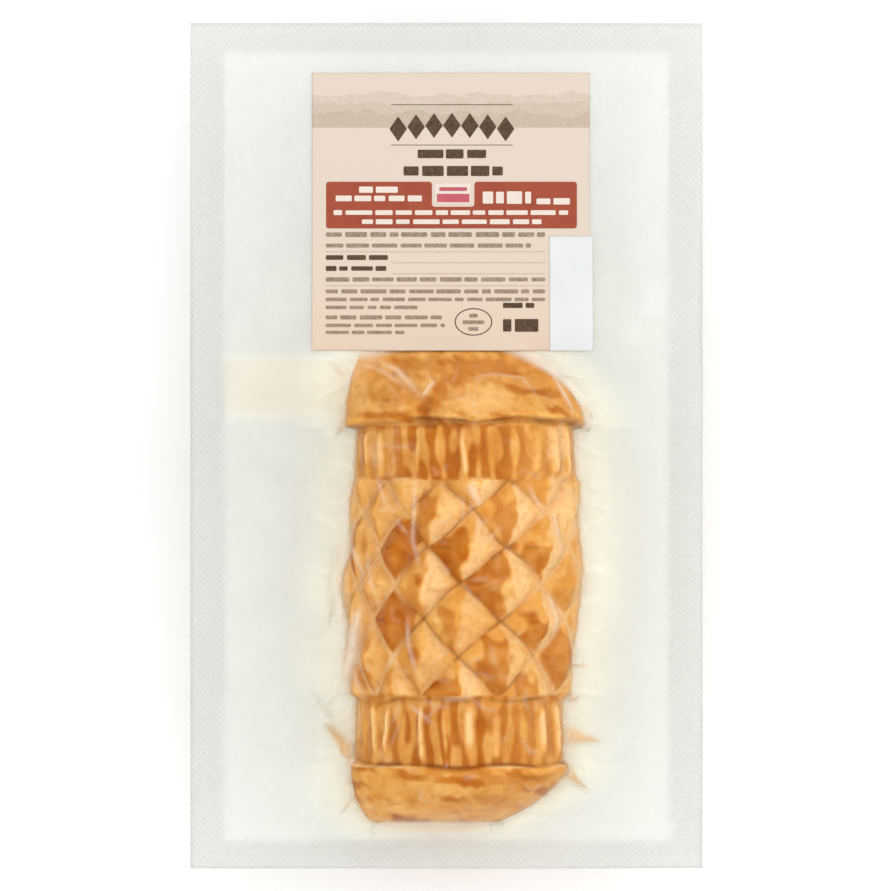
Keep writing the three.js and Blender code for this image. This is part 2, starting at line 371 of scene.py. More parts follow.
def toLinear(hexColour):
    parts = [int(hexColour[i : i + 2], 16) / 255 for i in (1, 3, 5)]
    return [*(p / 12.92 if p <= 0.04045 else ((p + 0.055) / 1.055) ** 2.4 for p in parts), 1.0]


# Adds a node, with its settings, its inputs' values, the links into it and, for a colour ramp, its stops
def addNode(tree, kind, values=None, links=None, stops=None, **settings):
    node = tree.nodes.new(kind)
    for name, value in settings.items():
        setattr(node, name, value)
    for name, value in (values or {}).items():
        node.inputs[name].default_value = value
    for name, source in (links or {}).items():
        tree.links.new(source, node.inputs[name])
    for index, (position, colour) in enumerate(stops or []):
        ramp = node.color_ramp.elements
        stop = ramp[index] if index < len(ramp) else ramp.new(position)
        stop.position = position
        stop.color = toLinear(colour)
    return node


def newMaterial(name):
    material = bpy.data.materials.new(name)
    material.use_nodes = True
    material.node_tree.nodes.clear()
    return material, material.node_tree


def addPiece(name, bm, materials, slotName, *nodes):
    mesh = bpy.data.meshes.new(name)
    bm.to_mesh(mesh)
    bm.free()
    for material in materials:
        mesh.materials.append(material)
    mesh.shade_smooth()
    piece = bpy.data.objects.new(name, mesh)
    bpy.context.scene.collection.objects.link(piece)
    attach(piece, "root")
    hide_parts(*nodes)
    return piece


def addAttribute(piece, name, values):
    attribute = piece.data.attributes.new(name, "FLOAT", "POINT")
    attribute.data.foreach_set("value", np.asarray(values, dtype=np.float32).ravel())


def moveVertices(bm, x, y, z):
    for vertex, place in zip(bm.verts, np.stack([x, y, z], axis=-1).reshape(-1, 3) * mm):
        vertex.co = Vector(place)


# Where the film lies wet on the cheese it shows dark and saturated, and where it stands off pale; facets turned from
# the lamp also get painted shade, those turned to it painted light
wetShadeLightSettings = {
    "edge": 0.04,
    "raggedEdge": 0.07,
    "raggedLength": 5.0,
    "paleFrom": 0.35,
    "paleTo": 0.95,
    "capShare": 0.9,
    "middleX": 5.0,
}

# The wet patch in each diamond in front, dark from wet film and from painted shade on its facet turned from the lamp,
# by the diamond's place across and along: how dark it is, how far it passes the upright ridge, how far it reaches left
# of it and how far up, as shares of the diamond
wetShadePatches = {
    (6, 1): (0.55, 0.1, 0.45, 0.4),
    (4, 1): (0.7, 0.0, 0.6, 0.6),
    (2, 1): (0.35, 0.0, 0.8, 0.8),
    (3, 2): (1.0, 0.75, 1.0, 0.8),
    (5, 2): (1.0, 0.0, 1.0, 0.4),
    (7, 2): (0.75, 0.05, 0.85, 0.1),
    (1, 2): (0.8, 0.0, 0.6, 0.9),
    (4, 3): (0.3, 0.0, 0.7, 0.6),
    (6, 3): (0.8, 0.0, 1.0, 1.0),
    (8, 3): (0.3, 0.2, 0.6, 0.4),
    (2, 3): (0.45, 0.2, 0.9, 0.8),
    (3, 4): (0.95, 0.75, 1.0, 1.0),
    (5, 4): (0.6, -0.1, 0.45, 0.3),
    (7, 4): (0.8, 0.12, 0.5, 0.2),
    (1, 4): (0.5, 0.0, 0.8, 0.8),
    (4, 5): (0.3, 0.0, 0.8, 0.5),
    (6, 5): (0.7, 0.12, 0.45, 0.5),
    (8, 5): (0.65, 0.6, 1.0, 0.6),
    (2, 5): (0.5, 0.1, 0.8, 0.7),
    (5, 6): (0.9, 0.0, 0.95, 0.5),
    (7, 6): (0.65, 0.0, 0.55, 0.6),
    (3, 6): (0.6, 0.1, 0.8, 0.8),
}

# Large dark patches on the smoked skin: smoke stains, and on the upper cap painted shade along its far slope and in its
# hollow; x, y, half width and half height in millimetres, and how dark
stainsAndShade = [
    (-5.0, 19.6, 12.0, 2.4, 0.55),
    (8.0, 18.6, 15.0, 3.0, 0.65),
    (-5.4, 8.6, 2.6, 1.8, 1.1),
    (-3.6, 10.8, 2.6, 2.4, 0.95),
    (-1.4, 13.2, 3.0, 2.6, 0.8),
    (1.6, 15.8, 4.0, 2.4, 0.7),
    (-14.0, 12.5, 6.5, 4.5, 0.35),
    (-12.0, 7.6, 6.0, 1.2, 0.5),
    (20.0, 15.5, 5.0, 3.0, 0.35),
    (-4.8, -14.3, 1.4, 4.0, 0.7),
    (-7.0, -32.4, 1.6, 2.0, 0.95),
    (-8.0, -49.8, 1.5, 2.0, 0.85),
    (-19.7, -23.8, 1.2, 2.6, 0.7),
    (-19.5, -56.4, 2.4, 3.0, 0.7),
    (14.0, -50.6, 1.8, 3.0, 0.5),
    (27.0, -51.9, 3.0, 2.6, 0.4),
    (2.0, -77.6, 17.0, 1.4, 0.55),
    (14.0, -79.6, 8.0, 1.6, 0.5),
    (-6.0, -83.0, 5.0, 3.0, 0.25),
    (10.0, -84.5, 6.0, 2.6, 0.3),
]

# Pale places on the upper cap and beside the diamonds, in the same form as the dark patches; among them painted light
# on the cap's bulge and on the roll's right side, which face the lamp
paleAndLitSpots = [
    (8.0, 10.6, 11.5, 4.2, 0.3),
    (-21.0, 12.0, 3.0, 5.5, 0.35),
    (6.6, -10.8, 1.8, 3.4, 0.8),
    (28.0, -16.0, 4.0, 10.0, 0.9),
    (27.0, 0.0, 4.0, 5.0, 0.8),
    (-17.5, -1.0, 2.0, 5.0, 0.5),
]


def spotShare(x, y, spots, seed):
    total = np.zeros(np.broadcast(x, y).shape)
    ragged = 0.22 * randomWaves(x, y, 4.5, seed)
    for centreX, centreY, halfWidth, halfHeight, share in spots:
        off = np.sqrt(((x - centreX) / halfWidth) ** 2 + ((y - centreY) / halfHeight) ** 2)
        total = np.maximum(total, share * (1 - smoothStep(off + ragged, 0.4, 1.2)))
    return total


# How wet and how pale each place looks, both from 0 to 1: the diamonds are wet left of their upright ridges, with
# painted shade on these facets turned from the lamp, and painted light right of them; the bands are wet between their
# ribs and painted with a highlight along them, and the caps are wet in streaks
def wetShadeAndLight(x, y, form, side):
    place, lean, cell, nearWeld = (form[name] for name in ("place", "lean", "cell", "nearWeld"))
    ragged = wetShadeLightSettings["raggedEdge"] * randomWaves(x, y, wetShadeLightSettings["raggedLength"], 32)
    tide = mix(0.8, 1.1, smoothStep(randomWaves(x, y, 5.0, 36), -0.5, 0.5))
    shape = (cheese["girthColumns"] // cheese["halfDiamond"] + 2, cheese["diamondRows"] + 2)
    patches = np.tile(np.array([0.15, 0.0, 1.0, 1.0]), (*shape, 1))
    for numbers, patch in wetShadePatches.items():
        patches[numbers] = patch
    numbers = tuple(np.clip(form[name].astype(int), 0, last - 1) for name, last in zip(("column", "row"), shape))
    inFront, past, reach, top = np.moveaxis(patches[numbers], -1, 0)
    share = np.where(side > 0, inFront, np.clip(0.5 + 0.65 * cell, 0.08, 1))
    past, reach, top = (np.where(side > 0, front, back) for front, back in ((past, 0.0), (reach, 1.0), (top, 1.0)))
    # The wet patch lies on the facet left of the upright ridge, turned from the lamp: wet film and painted shade
    rightEdge = smoothStep(past - lean + ragged, -wetShadeLightSettings["edge"], wetShadeLightSettings["edge"])
    leftEdge = 1 - smoothStep(-lean + 2 * ragged, reach - 0.12, reach + 0.08)
    topEdge = 1 - smoothStep(-form["rise"] + 2 * ragged, top - 0.1, top + 0.1)
    wetShadedFacet = share * rightEdge * leftEdge * topEdge * tide
    # Right of the upright ridge the facets turned to the lamp are painted pale: painted light
    rightHalf = 1 - smoothStep(-lean + ragged, -0.12, -0.02)
    litPaleFacet = rightHalf * (1 - smoothStep(lean, wetShadeLightSettings["paleFrom"], wetShadeLightSettings["paleTo"])) * np.clip(0.75 - 0.4 * cell, 0, 1)
    # Painted light: the pale facets fade out towards the left of the roll, away from the lamp
    litPaleFacet = litPaleFacet * mix(0.25, 1, smoothStep(x, -16, -2))
    streaks = smoothStep(randomWaves(x, 0.3 * y, 4.0, 33), -0.5, 0.3)
    valley = smoothStep(place, 0.3, 0.62) * mix(0.15, 0.95, streaks) * (1 - 0.45 * smoothStep(np.abs(x - 1), 8, 20))
    # The ribs' crests are painted pale: a painted highlight
    rib = 1 - smoothStep(place, 0.08, 0.4)
    streakWaves = randomWaves(0.4 * x, y, 4.5, 37) + 0.5 * randomWaves(x, y, 2.6, 45)
    capStreaks = smoothStep(streakWaves, -0.3, 1.1) * smoothStep(randomWaves(x, y, 12.0, 38), -0.9, 0.4)
    bands = [
        (y > cheese["headRim"]) | (y < cheese["footRim"]),
        (y < cheese["diamondHead"]) & (y > cheese["diamondFoot"]),
    ]
    wetAndShade = np.clip(np.select(bands, [wetShadeLightSettings["capShare"] * capStreaks, wetShadedFacet], valley), 0, 1)
    pale = np.select(bands, [0 * wetShadedFacet, litPaleFacet], rib)
    front = side > 0
    # Dark patches: smoke stains, and painted shade on the upper cap
    wetAndShade = np.maximum(wetAndShade, spotShare(x, y, stainsAndShade, 31) * front)
    # Pale places, partly painted light
    pale = np.maximum(pale, spotShare(x, y, paleAndLitSpots, 39) * front)
    # Low on its flanks the roll is painted pale and dry: painted light over the shade of its sides
    flank = 1 - smoothStep(nearWeld, 1.0, 2.5)
    wetAndShade, pale = wetAndShade * (1 - flank), np.maximum(pale, flank)

    # Towards both sides of the front the film bridges the grooves between the diamonds, which look pale there
    aside = smoothStep(np.abs(x - wetShadeLightSettings["middleX"]), 12, 18) * front * bands[1]
    bridged = aside * smoothStep(place, 0.8, 0.95)
    wetAndShade = wetAndShade * (1 - spotShare(x, y, paleAndLitSpots, 39) * front) * (1 - bridged)
    return wetAndShade, np.maximum(pale * (1 - wetAndShade), 0.9 * bridged)


# Smoked curd cheese: a dense waxy body whose smoked skin runs from cream-gold to amber, a little translucent,
# matt where air lies under the film and darker where the film is wet. Its colour also carries painted shade on the
# facets turned from the lamp and in the grooves and creases, and painted light on the facets and ribs turned to it
def smokedCheese():
    material, tree = newMaterial("smoked_cheese_skin")
    place = addNode(tree, "ShaderNodeTexCoord").outputs["Object"]
    wetAndShade = addNode(tree, "ShaderNodeAttribute", attribute_name="wetAndShade").outputs["Fac"]
    pale = addNode(tree, "ShaderNodeAttribute", attribute_name="pale").outputs["Fac"]
    grooveShade = addNode(tree, "ShaderNodeAttribute", attribute_name="grooveShade").outputs["Fac"]
    smokeBlotch = 1 / 0.007
    mottle = addNode(tree, "ShaderNodeTexNoise", {"Scale": smokeBlotch, "Detail": 4.0, "Roughness": 0.6}, {"Vector": place})
    tone = addNode(
        tree,
        "ShaderNodeValToRGB",
        links={"Fac": mottle.outputs["Fac"]},
        stops=[(0.32, "#de9838"), (0.68, "#f0bc6c"), (0.5, "#e8aa50")],
    )
    # The dark wet tone, which also serves as painted shade on the facets turned from the lamp
    wetShadeTone = addNode(
        tree,
        "ShaderNodeValToRGB",
        links={"Fac": mottle.outputs["Fac"]},
        stops=[(0.35, "#b05a04"), (0.65, "#c6740f")],
    )
    # Pale places, partly painted light, are mixed in here
    dryAndLit = addNode(
        tree,
        "ShaderNodeMix",
        {"B": toLinear("#f6c987")},
        {"Factor": pale, "A": tone.outputs["Color"]},
        data_type="RGBA",
    )
    skin = addNode(
        tree,
        "ShaderNodeMix",
        links={"Factor": wetAndShade, "A": dryAndLit.outputs["Result"], "B": wetShadeTone.outputs["Color"]},
        data_type="RGBA",
    )
    speckle = addNode(tree, "ShaderNodeTexNoise", {"Scale": 1 / 0.0016, "Detail": 3.0}, {"Vector": place})
    speckleShare = addNode(
        tree,
        "ShaderNodeMapRange",
        {"From Min": 0.5, "From Max": 0.75, "To Min": 0.0, "To Max": 0.5},
        {"Value": speckle.outputs["Fac"]},
    )
    speckled = addNode(
        tree,
        "ShaderNodeMix",
        {"B": toLinear("#cc8226")},
        {"Factor": speckleShare.outputs["Result"], "A": skin.outputs["Result"]},
        data_type="RGBA",
    )
    # Painted shade: the grooves and creases are darkened towards brown
    grooveShadeShare = addNode(tree, "ShaderNodeMath", {1: 0.9}, {0: grooveShade}, operation="MULTIPLY")
    colour = addNode(
        tree,
        "ShaderNodeMix",
        {"B": toLinear("#8c4a0e")},
        {"Factor": grooveShadeShare.outputs["Value"], "A": speckled.outputs["Result"]},
        data_type="RGBA",
    )
    rough = addNode(tree, "ShaderNodeMapRange", {"To Min": 0.55, "To Max": 0.28}, {"Value": wetAndShade})
    curd = addNode(tree, "ShaderNodeTexNoise", {"Scale": 1 / 0.0011, "Detail": 5.0, "Roughness": 0.6}, {"Vector": place})
    bump = addNode(tree, "ShaderNodeBump", {"Strength": 0.35, "Distance": 0.0003}, {"Height": curd.outputs["Fac"]})
    shader = addNode(
        tree,
        "ShaderNodeBsdfPrincipled",
        {"IOR": 1.46, "Specular IOR Level": 0.06, "Subsurface Weight": 0.12, "Subsurface Radius": (1.0, 0.55, 0.25), "Subsurface Scale": 0.002},
        {"Base Color": colour.outputs["Result"], "Roughness": rough.outputs["Result"], "Normal": bump.outputs["Normal"]},
    )
    addNode(tree, "ShaderNodeOutputMaterial", links={"Surface": shader.outputs["BSDF"]})
    return material


# The cheese's rings along the roll: where each stretch starts, in millimetres, and how many rings it takes
def cheeseRings():
    head, foot = cheese["diamondHead"], cheese["diamondFoot"]
    nearEnd = 0.985
    stops = [
        (mix(footCap["rim"], footCap["end"], nearEnd), 34),
        (cheese["footRim"], 3),
        (cheese["footCrease"], 28),
        (foot, cheese["diamondRows"] * 17),
        (head, 24),
        (cheese["headRim"], 42),
        (mix(headCap["rim"], headCap["end"], nearEnd), 0),
    ]
    rings = []
    for (start, count), (end, _) in zip(stops, stops[1:]):
        rings.extend(np.linspace(start, end, count, endpoint=False))
    return np.array([*rings, stops[-1][0]])


def buildCheese():
    topSteps, backSteps = 10, 5  # segments to a girth column, over the top and underneath
    rings = cheeseRings()
    columns = cheese["girthColumns"]
    segments = columns * (topSteps + backSteps)
    bm = bmesh.new()
    bmesh.ops.create_uvsphere(bm, u_segments=segments, v_segments=len(rings) + 1, radius=1)
    unit = np.array([vertex.co for vertex in bm.verts])
    ring = np.rint(np.arccos(np.clip(-unit[:, 2], -1, 1)) / math.pi * (len(rings) + 1)).astype(int) - 1
    pole = (ring < 0) | (ring >= len(rings))
    y = rings[np.clip(ring, 0, len(rings) - 1)]
    turn = np.rint(np.arctan2(unit[:, 1], unit[:, 0]) / (2 * math.pi) * segments) % segments
    over = columns * topSteps
    side = np.where(turn <= over, 1, -1)
    column = np.where(turn <= over, columns - turn / topSteps, (turn - over) / backSteps)
    x, z, form = girthPoint(y, column, side, False)
    fold = randomWaves(x, y + 0.4 * z, 5.0, 11) * 0.1 + randomWaves(x, y + 0.7 * z, 2.2, 12) * 0.05
    angle = columnAngle(y, column)
    swell = np.minimum(fold, 0.12) - 0.12
    x = x + swell * np.sin(angle)
    z = z + side * swell * np.cos(angle) * bulgeShare(y, side)
    centreX = axisX(y)
    level = mix(sheetHeight(centreX, y), cheese["axisHeight"], bulgeShare(y, side))
    x = np.where(pole, centreX, x)
    z = np.maximum(np.where(pole, level, z), 0.15)
    moveVertices(bm, x, y, z)
    bmesh.ops.recalc_face_normals(bm, faces=bm.faces)
    piece = addPiece("cheese_roll", bm, [smokedCheese()], "smoked_cheese", "vacuum_pouch")
    wetAndShade, pale = wetShadeAndLight(x, y, form, side)
    addAttribute(piece, "wetAndShade", wetAndShade)
    addAttribute(piece, "pale", pale)
    # Painted shade in the grooves between the diamonds and in the creases by the rims, with a dark line across each wet
    # facet
    inDiamonds = (y < cheese["diamondHead"]) & (y > cheese["diamondFoot"])
    broken = smoothStep(randomWaves(x, y, 11.0, 34), -0.4, 0.3)
    ridge = 0.7 * np.exp(-((form["rise"] / 0.035) ** 2)) * (form["lean"] < -0.12) * smoothStep(wetAndShade, 0.5, 0.95)
    middle = 1 - 0.9 * smoothStep(np.abs(x - wetShadeLightSettings["middleX"]), 12, 18) * (side > 0)
    grooveShade = np.where(inDiamonds, smoothStep(form["place"], 0.89, 1.0) * mix(0.1, 0.9, broken) * middle, 0)
    grooveShade = np.where(inDiamonds, np.maximum(grooveShade, ridge), grooveShade)
    rise, rimWave = rimRises(y, column, side)
    creases = (
        (cheese["headCrease"] + 0.8 + rise, 0.8),
        (cheese["footRim"] + 0.6 + rimWave, 0.9),
        (cheese["middleCrease"] + 0.6 * randomWaves(x, 0 * y, 16.0, 35), 0.5),
    )
    for crease, strength in creases:
        off = y - crease
        grooveShade = np.maximum(grooveShade, strength * mix(0.2, 1, broken) * np.exp(-((off / 0.45) ** 2)))
    addAttribute(piece, "grooveShade", grooveShade)
    return piece


buildCheese()
print("cheese roll done")

# How milky the film looks: over the cheese where it clings and where it stands off, beside it and in the welds, and
# how much painted warm light from the cheese tints it near and over the cheese
film = {
    "wetHaze": 0.0,
    "dryHaze": 0.015,
    "paleHaze": 0.04,
    "freeHaze": 0.5,
    "nearHaze": 0.84,
    "weldHaze": 0.5,
    "nearCheeseLight": 0.22,
    "overCheeseLight": 0.4,
    "wrinkle": 0.32,
    "wrinkleLength": 19.0,
    "fineWrinkle": 0.07,
    "fineLength": 6.0,
    "lowHeight": 3.0,
    "shoulderShare": 0.8,
    "fillet": 2.4,
    "filletRounds": 60,
}

# Folds that the vacuum has drawn in the front film: points x, y in millimetres, half width, height and milkiness
shapedFolds = [
    ([(-24.5, 22.0), (-20.6, 21.4), (-16.3, 20.3), (-12.0, 18.0), (-8.6, 14.6), (-6.0, 11.6), (-5.0, 9.5)], 0.85, 0.8, 0.5),
    ([(-22.0, 20.0), (-16.0, 18.2), (-11.4, 15.2), (-8.2, 12.0)], 0.5, 0.35, 0.35),
    ([(-21.0, -37.0), (-22.4, -49.5), (-24.2, -56.4), (-24.8, -62.0), (-22.0, -69.0)], 1.5, 0.8, 0.95),
    ([(-6.4, 10.8), (-4.4, 13.2), (-2.2, 16.4)], 0.5, 0.5, 0.5),
    ([(4.0, 15.6), (11.0, 17.0), (18.0, 16.0), (21.5, 12.0), (22.6, 8.2)], 0.4, 0.4, 0.25),
    ([(12.0, 21.8), (20.0, 20.6), (26.0, 17.4), (28.0, 14.8)], 0.5, 0.5, 0.3),
    ([(-7.3, -5.0), (-7.7, -18.4), (-8.1, -22.5), (-6.5, -28.3), (-5.0, -32.6)], 0.55, 0.5, 0.4),
    ([(-9.4, -39.1), (-9.0, -47.3), (-7.3, -53.5), (-5.6, -58.1)], 0.55, 0.45, 0.35),
    ([(-22.6, -15.5), (-22.8, -23.4), (-19.1, -32.4), (-16.0, -34.5)], 0.6, 0.5, 0.4),
    ([(-12.7, -16.8), (-8.5, -22.1)], 0.4, 0.35, 0.35),
    ([(-17.0, -6.0), (-14.2, -14.5), (-12.7, -16.8)], 0.5, 0.4, 0.3),
    ([(-19.0, -24.0), (-18.0, -33.0), (-15.5, -38.0)], 0.45, 0.4, 0.35),
    ([(25.3, -15.5), (27.0, -23.4)], 0.5, 0.4, 0.4),
    ([(23.7, -34.1), (26.2, -41.5), (24.9, -46.9)], 0.5, 0.45, 0.4),
    ([(19.0, -8.5), (21.5, -13.5), (23.5, -17.0)], 0.45, 0.4, 0.3),
    ([(-20.5, -38.0), (-21.2, -43.0), (-21.9, -48.5)], 0.8, 0.9, 0.75),
    ([(-23.2, -47.0), (-21.5, -56.0), (-18.5, -62.5)], 0.6, 0.5, 0.4),
    ([(5.4, -8.2), (6.6, -11.5), (8.6, -15.0)], 0.9, 0.5, 0.5),
    ([(-9.5, -61.2), (-2.3, -67.2)], 0.5, 0.5, 0.35),
    ([(-2.0, -60.8), (8.0, -59.7)], 0.5, 0.35, 0.3),
    ([(28.5, 15.8), (32.5, 11.0), (34.3, 6.0)], 0.6, 0.5, 0.65),
    ([(25.0, 17.5), (29.5, 9.5), (31.0, 5.5)], 0.45, 0.4, 0.5),
    ([(-26.0, -23.0), (-25.3, -36.0), (-26.8, -51.0)], 1.6, 1.0, 0.4),
]

# Pleats and spikes that run out from the cheese into the flat film: root, tip, half width, height, milkiness and how
# much painted warm light from the cheese tints them
pleats = [
    ((29.0, -69.5), (38.0, -71.0), 2.6, 2.6, 0.7, 0.8),
    ((26.5, -76.5), (35.0, -83.5), 2.2, 2.0, 0.6, 0.7),
    ((-22.5, -73.5), (-30.0, -66.0), 2.8, 2.8, 0.5, 1.0),
    ((-24.4, -70.8), (-34.2, -58.0), 1.6, 1.1, 0.4, 0.2),
    ((27.5, -59.5), (32.0, -60.8), 2.0, 1.6, 0.5, 0.5),
    ((30.0, -52.8), (35.2, -52.9), 0.5, 0.7, 0.5, 0.5),
    ((32.5, 8.6), (35.4, 6.4), 0.9, 1.0, 0.5, 0.4),
    ((-25.3, 17.8), (-28.6, 20.8), 0.8, 1.0, 0.6, 0.4),
    ((-24.5, 5.5), (-27.0, 1.8), 0.7, 0.9, 0.5, 0.4),
    ((31.5, 5.0), (34.8, 3.2), 0.7, 0.9, 0.5, 0.4),
    ((-25.5, -24.0), (-29.0, -46.0), 2.0, 1.4, 0.45, 0.08),
    ((-22.0, -84.5), (-26.5, -89.5), 0.9, 1.0, 0.35, 0.3),
    ((12.0, -90.0), (15.5, -94.5), 0.7, 0.7, 0.3, 0.2),
    ((-16.0, -90.0), (-19.0, -94.0), 0.7, 0.7, 0.3, 0.2),
]


# Small creases that radiate from the cheese into the flat film, and faint ones in the film over it
def looseCreases():
    draw = np.random.default_rng(5)
    creases = []
    for sideSign in (-1, 1):
        for y in np.linspace(cheese["footEnd"] + 3, cheese["headRim"] + 12, 15):
            start = y + draw.uniform(-3.5, 3.5)
            root = float(girthPoint(np.array(start), np.array(27.0 if sideSign > 0 else 0.0), 1, True)[0])
            length, slope = draw.uniform(3, 10), draw.normal(-0.1, 0.5)
            tip = (root + sideSign * length, start + slope * length)
            height, haze = draw.uniform(0.2, 0.6), draw.uniform(0.04, 0.2)
            creases.append(([(root - sideSign * 1.5, start), tip], draw.uniform(0.4, 1.1), height, haze))
    for _ in range(150):
        x, y = draw.uniform(-22, 28), draw.uniform(-88, 20)
        angle, length = draw.uniform(0, math.pi), draw.uniform(2, 9)
        bend = draw.normal(0, 0.8, 2)
        end = (x + length * math.cos(angle), y + length * math.sin(angle))
        middle = ((x + end[0]) / 2 + bend[0], (y + end[1]) / 2 + bend[1])
        creases.append(([(x, y), middle, end], draw.uniform(0.38, 0.6), draw.uniform(0.06, 0.22), draw.uniform(0.04, 0.2)))
    return creases


# How far folds lift a sheet at each place, and how much milkier they make it
def foldLift(x, y, folds):
    lift = np.zeros(x.shape)
    haze = np.zeros(x.shape)
    for points, width, height, milk in folds:
        low, high = np.min(points, axis=0) - 3 * width, np.max(points, axis=0) + 3 * width
        near = (x > low[0]) & (x < high[0]) & (y > low[1]) & (y < high[1])
        off, along = lineDistance(x[near], y[near], points)
        taper = smoothStep(along, 0, 0.3) * (1 - smoothStep(along, 0.6, 1))
        shape = np.exp(-((off / width) ** 2)) * taper
        lift[near] = np.maximum(lift[near], height * shape)
        haze[near] = np.maximum(haze[near], milk * shape)
    return lift, haze


# A pleat is widest at the cheese and runs out to a point
def pleatLift(x, y, side, outside):
    lift = np.zeros(x.shape)
    haze = np.zeros(x.shape)
    pleatCheeseLight = np.zeros(x.shape)
    for root, tip, width, height, milk, cheeseLight in pleats if side > 0 else []:
        root, tip = np.array(root), np.array(tip)
        length = np.hypot(*(tip - root))
        step = (tip - root) / length
        t = ((x - root[0]) * step[0] + (y - root[1]) * step[1]) / length
        off = np.abs((x - root[0]) * step[1] - (y - root[1]) * step[0])
        narrow = width * np.clip(1.1 - t, 0.15, 1.2)
        shape = smoothStep(t, -0.4, 0.1) * (1 - smoothStep(t, 0.7, 1.05)) * (1 - smoothStep(off / narrow, 0, 1.1))
        shape = shape * smoothStep(outside, -2.5, 0.5)
        lift = np.maximum(lift, height * shape)
        haze = np.maximum(haze, milk * shape)
        pleatCheeseLight = np.maximum(pleatCheeseLight, cheeseLight * shape)
    return lift, haze, pleatCheeseLight


def filmRows(share):
    head, foot = cheese["diamondHead"], cheese["diamondFoot"]
    stops = [
        (-pouch["end"], 10),
        (cheese["footEnd"], 30),
        (cheese["footRim"], 3),
        (cheese["footCrease"], 30),
        (foot, cheese["diamondRows"] * 18),
        (head, 28),
        (cheese["headRim"], 50),
        (cheese["headEnd"], 48),
        (pouch["end"], 0),
    ]
    rows = []
    for (start, count), (end, _) in zip(stops, stops[1:]):
        rows.extend(np.linspace(start, end, max(2, round(count * share)), endpoint=False))
    return np.array([*rows, pouch["end"]])


